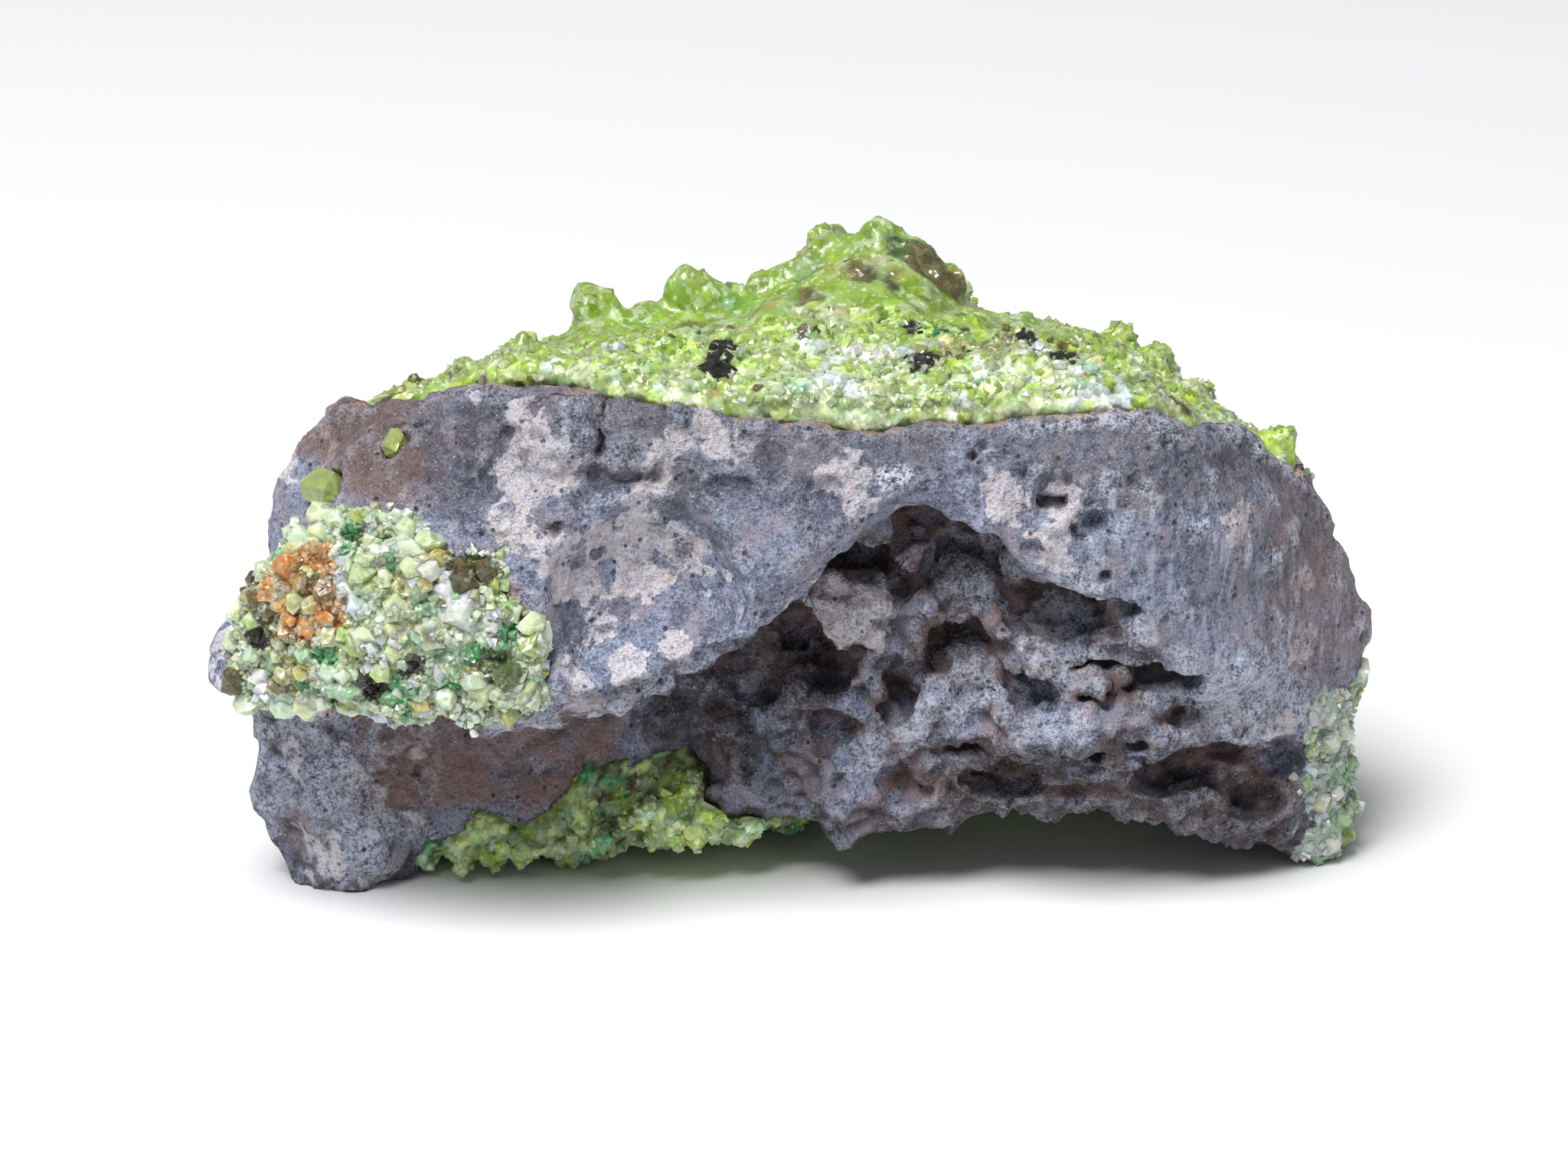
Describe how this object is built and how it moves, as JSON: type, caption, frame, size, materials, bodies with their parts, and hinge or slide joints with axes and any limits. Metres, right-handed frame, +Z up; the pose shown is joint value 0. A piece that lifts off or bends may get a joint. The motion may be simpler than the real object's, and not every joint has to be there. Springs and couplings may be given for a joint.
{
  "type": "peridot in basalt specimen",
  "caption": "Hand specimen of green granular olivine (peridot) in a dark vesicular basalt rind with an overhanging ledge.",
  "frame": {"origin": "centre of the specimen's box at the surface it stands on", "axes": "+X along the specimen's length, -Y towards its basalt front, +Z up"},
  "size_m": [0.0566, 0.028, 0.0318],
  "materials": {
    "basalt": "rough, vesicular",
    "olivine": "glassy, granular",
    "pale_olivine": "glassy, granular"
  },
  "bodies": {
    "root": {"basalt_rind": "basalt", "peridot_nodule": "olivine", "peridot_patch": "pale_olivine", "lone_crystal": "olivine", "olivine_sliver": "olivine"}
  },
  "joints": []
}
